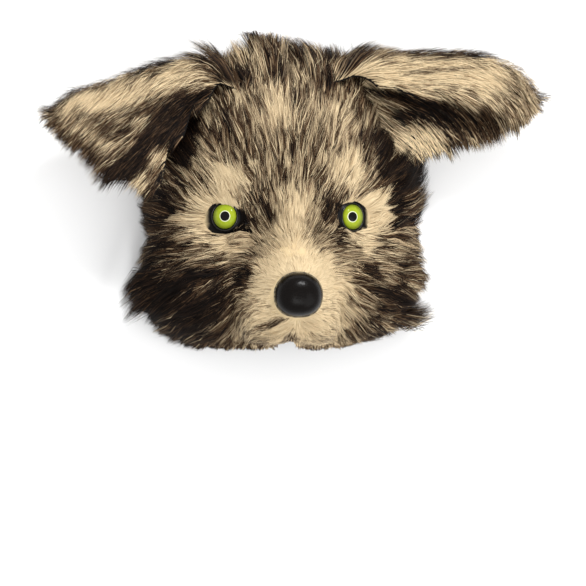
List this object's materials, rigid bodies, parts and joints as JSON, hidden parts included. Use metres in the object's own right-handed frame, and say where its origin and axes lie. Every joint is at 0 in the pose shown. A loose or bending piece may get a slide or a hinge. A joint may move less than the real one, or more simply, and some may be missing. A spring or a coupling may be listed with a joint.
{
  "type": "furry wolf half-mask",
  "caption": "Costume wolf half-mask: long fake fur over a hollow moulded shell, with folded fur ears, domed plastic eyes and a moulded nose; the mouth and chin stay free.",
  "frame": {"origin": "on the surface that the mask lies on, under the middle of its box", "axes": "+Z the way the face looks, up as the mask lies on its back rim; +Y towards the crown; +X towards the ear on the picture's right"},
  "size_m": [0.409, 0.2476, 0.1553],
  "materials": {
    "shell": "satin black moulded sheet",
    "face_fur": "long-pile fake fur, cream with brown-black tips",
    "ear_fur": "fake fur, cream with brown-black edges",
    "eye": "clear gloss over a yellow-green iris and a black pupil",
    "nose": "semi-gloss black, lightly pebbled"
  },
  "bodies": {
    "root": {"face_shell": "shell", "fur_pelt": "face_fur", "ear_left": "ear_fur", "ear_right": "ear_fur", "eye_left": "eye", "eye_right": "eye", "nose": "nose"}
  },
  "joints": []
}
